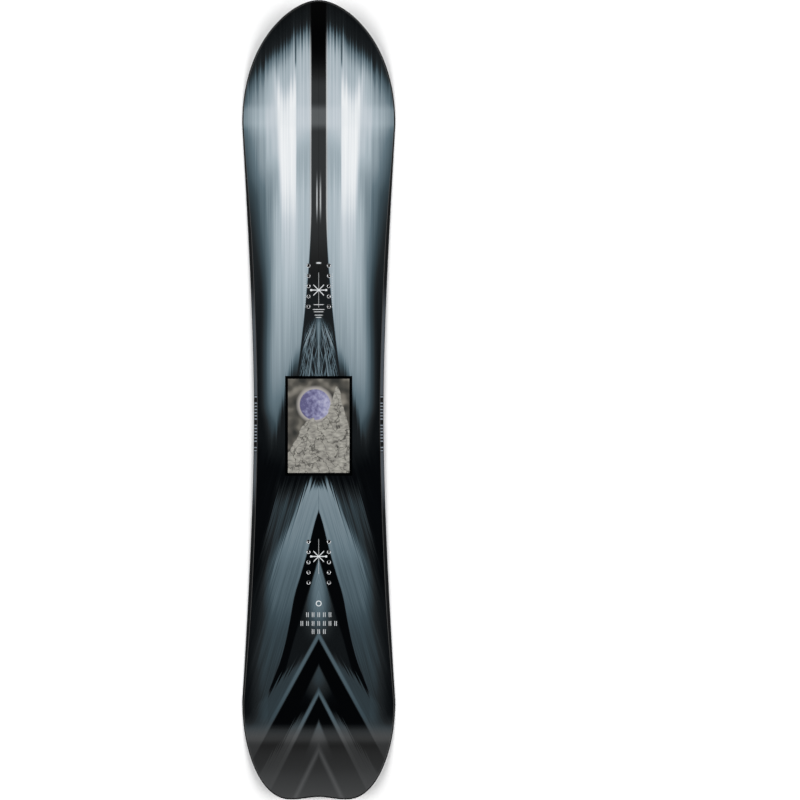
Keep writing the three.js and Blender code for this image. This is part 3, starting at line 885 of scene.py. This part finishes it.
def ruled(ink, y, shade):
    """A black panel with a row of pale ticks, in two groups, laid over the shade."""
    low, high = RULE_SPAN
    panel = ink.times(ink.rise(y, low - 0.0005, low), ink.rise(y, high + 0.0005, high))
    step = ink.calc("PINGPONG", ink.times(y, 1000.0), TICK_PITCH / 2)
    pause = ink.calc("PINGPONG", ink.times(y, 1000.0), TICK_PITCH * 3.5)
    ticks = ink.times(ink.rise(step, 1.4, 0.8), ink.rise(pause, 2.0, 2.4))
    shade = ink.blend(panel, shade, 0.004)
    return ink.blend(ink.times(ink.times(ticks, panel), 0.8), shade, 0.34)


def plastic_material(name, has_rules):
    """Black plastic, greyer along the waist, with the marks of the milling cutter."""
    ink = Ink(name)
    y = ink.put("ShaderNodeSeparateXYZ", {0: ink.place()}).outputs["Y"]
    marks = ink.noise(ink.scaled(ink.place(), (1800.0, 25.0, 1800.0)), 1.0, 4.0)
    waist = ink.times(ink.rise(y, 0.24, 0.14), ink.rise(y, -0.23, -0.15))
    shade = ink.times(ink.blend(waist, 0.004, 0.075), ink.plus(0.75, ink.times(marks, 0.5)))
    if has_rules:
        shade = ruled(ink, y, shade)
    parts = {0: ink.times(shade, 0.86), 1: shade, 2: ink.times(shade, 1.16)}
    return ink.finish({
        "Base Color": ink.put("ShaderNodeCombineColor", parts).outputs[0],
        "Roughness": 0.6,
        "Specular IOR Level": 0.06,
        "Normal": ink.bump(marks, 0.25, 0.00004),
    })


def rim_corners():
    top = above_core(0.0)
    ledge = moved_in(fixed(LEDGE_INSET))
    return (
        (ledge, fixed(SIDEWALL_LOW)),
        (beside_core, fixed(SIDEWALL_LOW)),
        (beside_core, top),
        (moved_in(bevelled(top)), top),
    )


def add_rim_piece(name, node, part_of_rim, sides, material):
    pieces = []
    for side in sides:
        placed = RIM[part_of_rim], RIM_INWARD[part_of_rim]
        pieces.append(bend_strip(f"{name}_{side}", rim_corners(), side, *placed))
    bpy.ops.object.select_all(action="DESELECT")
    for piece in pieces:
        piece.select_set(True)
    bpy.context.view_layer.objects.active = pieces[0]
    if len(pieces) > 1:
        bpy.ops.object.join()
    piece = bpy.context.view_layer.objects.active
    piece.name = piece.data.name = name
    piece.data.materials.append(material)
    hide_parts(node)
    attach(piece, "root")


def add_rim():
    sidewall = plastic_material("sidewall_plastic", True)
    spacer = plastic_material("spacer_plastic", False)
    y = RIM[:, 1]
    middle = (y <= SIDEWALL_END["nose"]) & (y >= SIDEWALL_END["tail"])
    for side, name in ((-1, "left"), (1, "right")):
        add_rim_piece(f"side_{name}", f"sidewall_{name}", middle, (side,), sidewall)
    nose = y > SIDEWALL_END["nose"] - 0.002
    tail = y < SIDEWALL_END["tail"] + 0.002
    add_rim_piece("nose_fill", "nose_spacer", nose, (-1, 1), spacer)
    add_rim_piece("tail_fill", "tail_spacer", tail, (-1, 1), spacer)


add_rim()


# ---------------------------------------------------------------- Wooden core
# Strips of poplar, with beech where the inserts sit and along the rails, glued side by
# side and planed to the board's thickness. The frame's own solids are kept.
POPLAR = ((0.52, 0.38, 0.21), (0.72, 0.58, 0.38))
BEECH = ((0.33, 0.18, 0.09), (0.52, 0.33, 0.18))


def wood_material(name, tones):
    ink = Ink(name)
    rings = ink.noise(ink.scaled(ink.place(), (120.0, 4.0, 120.0)), 1.0, 5.0)
    pores = ink.noise(ink.scaled(ink.place(), (1600.0, 90.0, 1600.0)), 1.0, 3.0)
    grain = ink.plus(ink.times(rings, 0.75), ink.times(pores, 0.25))
    return ink.finish({
        "Base Color": ink.colours(grain, ((0.35, tones[0]), (0.62, tones[1]))),
        "Roughness": 0.62,
        "Normal": ink.bump(pores, 0.4, 0.00008),
    })


def finish_core():
    woods = {"poplar": wood_material("poplar_strip", POPLAR), "beech": wood_material("beech_strip", BEECH)}
    for name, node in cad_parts.items():
        if name.startswith("core_"):
            wood = woods["poplar" if "poplar" in name or "centre" in name else "beech"]
            node.data.materials.clear()
            node.data.materials.append(wood)


finish_core()


# ---------------------------------------------------------------- Screw inserts
# Turned stainless nuts with a broad flange under the core and a blind M6 thread,
# pressed up through drilled holes. The topsheet leaves a ring of each one showing.
BARREL_RADIUS = 0.0042
BORE_RADIUS = 0.0025
CHAMFER_WIDTH, CHAMFER_DEPTH = 0.0014, 0.0010
FLANGE_RADIUS = 0.0090
FLANGE_THICKNESS = 0.0012
THREAD_TURNS = 6
THREAD_PITCH = 0.0009
THREAD_DEPTH = 0.00022
BARREL_TOP = CORE_LOW + GLUE + CORE_WAIST + GLASS_THICKNESS


def select_faces(mesh, wanted):
    """In edit mode: selects only the faces whose centre and normal pass the test."""
    bpy.ops.mesh.select_all(action="DESELECT")
    bpy.ops.object.mode_set(mode="OBJECT")
    for polygon in mesh.polygons:
        polygon.select = wanted(polygon)
    bpy.ops.object.mode_set(mode="EDIT")


def extrude(distance):
    bpy.ops.mesh.extrude_region_move(TRANSFORM_OT_translate={"value": (0.0, 0.0, distance)})


def widen(ratio):
    bpy.ops.transform.resize(value=(ratio, ratio, 1.0), center_override=(0.0, 0.0, 0.0))


def model_insert():
    """One insert on the frame's origin, standing as it does in the board."""
    low = CORE_LOW + GLUE
    height = BARREL_TOP - low - FLANGE_THICKNESS
    bpy.ops.object.select_all(action="DESELECT")
    bpy.ops.mesh.primitive_cylinder_add(vertices=48, radius=BARREL_RADIUS, depth=height,
                                        location=(0.0, 0.0, low + FLANGE_THICKNESS + height / 2))
    insert = bpy.context.object
    bpy.ops.object.transform_apply(location=True, rotation=False, scale=False)
    bpy.ops.object.mode_set(mode="EDIT")
    bpy.ops.mesh.select_mode(type="FACE")
    select_faces(insert.data, lambda face: face.normal.z > 0.9)
    bpy.ops.mesh.inset(thickness=BARREL_RADIUS - BORE_RADIUS - CHAMFER_WIDTH)
    extrude(-CHAMFER_DEPTH)
    widen(BORE_RADIUS / (BORE_RADIUS + CHAMFER_WIDTH))
    for _ in range(THREAD_TURNS):
        extrude(-THREAD_PITCH / 2)
        widen(1.0 - THREAD_DEPTH / BORE_RADIUS)
        extrude(-THREAD_PITCH / 2)
        widen(1.0 / (1.0 - THREAD_DEPTH / BORE_RADIUS))
    flange_top = low + 1.5 * FLANGE_THICKNESS
    select_faces(insert.data, lambda face: face.normal.z < -0.9 and face.center.z < flange_top)
    extrude(0.0)
    widen(FLANGE_RADIUS / BARREL_RADIUS)
    extrude(-FLANGE_THICKNESS)
    bpy.ops.object.mode_set(mode="OBJECT")
    finish_edges(insert)
    return insert


def seat_insert(model, node, steel):
    """A copy of the model at one insert's own place, leaning with the board there."""
    low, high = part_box(node)
    x, y = (low[0] + high[0]) / 2, (low[1] + high[1]) / 2
    copy = model.copy()
    copy.data = model.data.copy()
    copy.name = copy.data.name = node.replace("insert", "nut")
    bpy.context.collection.objects.link(copy)
    local = vertices_of(copy.data)
    places = local + np.array((x, y, 0.0))
    places[:, 2] += underside(places[:, 1])
    set_vertices(copy.data, places)
    copy.data.materials.append(steel)
    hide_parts(node)
    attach(copy, "root")


def add_inserts():
    steel = steel_material("insert_steel", (0.86, 0.87, 0.88), (5000.0, 5000.0, 5000.0), 0.0)
    model = model_insert()
    for node in sorted(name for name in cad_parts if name.startswith("insert_")):
        seat_insert(model, node, steel)
    bpy.data.objects.remove(model)


add_inserts()


# ---------------------------------------------------------------- Topsheet
# A clear gloss film printed on its underside, with a framed picture between the two
# insert packs. It is drilled through at each insert after pressing.
TOPSHEET_THICKNESS = 0.0005
HOLE_RADIUS = 0.0039
STANCE_MARKS = (565.0, 1086.0)
FRONT_RULES = ((512.0, 6.2, 1.6), (593.5, 11.5, 0.7), (603.0, 13.0, 0.7), (607.5, 11.0, 0.7),
               (614.0, 9.5, 0.7), (618.5, 7.0, 0.7))
TAIL_ROWS = ((1200.0, 27.0), (1217.0, 41.0), (1233.0, 15.0))
TAIL_RING = 1178.0
PANEL = {"half_width": 65.7, "top": 47.0, "bottom": -148.0, "frame": 5.6}
MOON = {"x": -7.0, "y": -9.0, "radius": 30.0}


def stance_mark(ink, across, up):
    """A crossed star on a bar with square ends, and a thin stem along the centre line."""
    diagonal = ink.gap(ink.calc("ABSOLUTE", up), across)
    cross = ink.times(ink.rise(diagonal, 1.5, 0.7), ink.rise(across, 10.6, 9.8))
    bar = ink.times(bars(ink, up, 0.0, 0.9), ink.rise(across, 16.5, 15.5))
    knob = ink.times(bars(ink, up, 0.0, 1.9), bars(ink, across, 14.6, 1.9))
    stem = ink.times(bars(ink, across, 0.0, 0.5), ink.times(bars(ink, up, 0.0, 34.0), 0.5))
    return ink.most(cross, bar, knob, stem)


def print_marks(ink, drawn):
    """White stance marks, small rules round the front pack, and a ring and rows of posts on the tail."""
    across, along = drawn["across"], drawn["along"]
    marks = [stance_mark(ink, across, ink.minus(along, place)) for place in STANCE_MARKS]
    for place, half, thick in FRONT_RULES:
        rule = ink.times(bars(ink, along, place, thick), ink.rise(across, half, half - 4.0))
        marks.append(ink.times(rule, 0.8))
    posts = bars(ink, ink.calc("PINGPONG", across, 5.5), 1.7, 0.7, 0.4)
    for place, half in TAIL_ROWS:
        row = ink.times(bars(ink, along, place, 4.6), ink.rise(across, half, half - 0.6))
        marks.append(ink.times(ink.times(row, posts), 0.75))
    marks.append(bars(ink, ink.reach(ink.minus(along, TAIL_RING), across), 4.8, 0.8))
    dots = ink.times(ink.rise(ink.calc("PINGPONG", along, 2.3), 1.3, 0.9), bars(ink, across, 26.6, 0.6))
    marks.append(ink.times(dots, ink.times(bars(ink, along, 566.0, 34.0), 0.5)))
    return ink.most(*marks)


def moon_over(ink, x, y, back):
    """The moon with its halo, over the sky."""
    from_left = ink.minus(x, MOON["x"])
    away = ink.reach(from_left, ink.minus(y, MOON["y"]))
    craters = ink.noise(ink.vector(x, y), 0.11, 4.0)
    lit = ink.plus(ink.times(craters, 0.8), ink.times(from_left, 0.006))
    face = ink.colours(lit, ((0.28, screen_colour(98, 96, 132)), (0.45, screen_colour(142, 142, 176)),
                             (0.62, screen_colour(178, 178, 204))))
    radius = MOON["radius"]
    halo = ink.layer(ink.rise(away, radius + 9.0, radius + 1.0), back, screen_colour(168, 164, 160))
    return ink.layer(ink.rise(away, radius + 0.8, radius - 0.8), halo, face)


def picture_colour(ink, drawn):
    """A lavender moon over pale, rocky mountains, with dark blurred cloud behind."""
    x, y = drawn["x"], drawn["y"]
    spot = ink.vector(x, y)
    back = ink.colours(ink.noise(spot, 0.035, 1.0), (
        (0.35, screen_colour(58, 59, 57)), (0.5, screen_colour(88, 86, 81)),
        (0.68, screen_colour(142, 138, 129))))
    crags = ink.noise(ink.scaled(spot, (0.07, 0.05, 1.0), 0.5), 1.0, 7.0)
    folds = ink.noise(ink.scaled(spot, (0.10, 0.22, 1.0), -0.6), 1.0, 8.0)
    skyline = ink.curve(ink.plus(x, 61.0), (
        (0, 0.22), (17.08, 0.36), (31.72, 0.52), (46.36, 0.58), (61, 0.54), (75.64, 0.60), (87.84, 0.78),
        (97.6, 0.90), (107.36, 0.72), (122, 0.48)), span=122.0)
    skyline = ink.plus(ink.times(skyline, 190.0), -146.0)
    skyline = ink.plus(skyline, ink.times(ink.minus(crags, 0.5), 26.0))
    rock = ink.colours(ink.plus(ink.times(folds, 0.6), ink.times(crags, 0.4)), (
        (0.34, screen_colour(96, 94, 90)), (0.44, screen_colour(140, 138, 132)),
        (0.54, screen_colour(162, 160, 152)), (0.68, screen_colour(184, 182, 173))))
    creases = ink.noise(ink.vector(x, ink.times(y, 0.7), 3.0), 0.055, 3.0)
    crack = ink.rise(ink.gap(creases, 0.5), 0.022, 0.004)
    rock = ink.layer(ink.times(crack, 0.75), rock, screen_colour(58, 57, 54))
    land = ink.rise(ink.minus(skyline, y), -1.5, 1.5)
    return ink.layer(land, moon_over(ink, x, y, back), rock)


def topsheet_material():
    ink = Ink("printed_topsheet")
    drawn = board_print(ink)
    colour = drawn["colour"]
    middle = (PANEL["top"] + PANEL["bottom"]) / 2
    half_high = (PANEL["top"] - PANEL["bottom"]) / 2
    from_middle = ink.gap(drawn["y"], middle)
    for trim, fill in ((0.0, screen_colour(7, 9, 10)), (PANEL["frame"], picture_colour(ink, drawn))):
        wide, high = PANEL["half_width"] - trim, half_high - trim
        inside = ink.times(ink.rise(drawn["across"], wide + 0.3, wide - 0.3),
                           ink.rise(from_middle, high + 0.3, high - 0.3))
        colour = ink.layer(inside, colour, fill)
    colour = ink.layer(print_marks(ink, drawn), colour, screen_colour(232, 236, 238))
    peel = ink.noise(ink.place(), 420.0, 2.0)
    return ink.finish({
        "Base Color": colour,
        "Roughness": ink.plus(0.42, ink.times(peel, 0.06)),
        "Specular IOR Level": 0.0,
        "Coat Weight": 1.0,
        "Coat Roughness": 0.05,
        "Normal": ink.bump(peel, 0.15, 0.00003),
    })


def add_topsheet():
    low = above_core(2 * GLUE + GLASS_THICKNESS)
    high = above_core(2 * GLUE + GLASS_THICKNESS + TOPSHEET_THICKNESS)
    sheet = press_sheet("top_film", (bevelled(low), low), (bevelled(high), high))
    finish_edges(sheet)
    drill_holes(sheet, HOLE_RADIUS)
    finish_edges(sheet)
    sheet.data.materials.append(topsheet_material())
    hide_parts("topsheet")
    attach(sheet, "root")


add_topsheet()
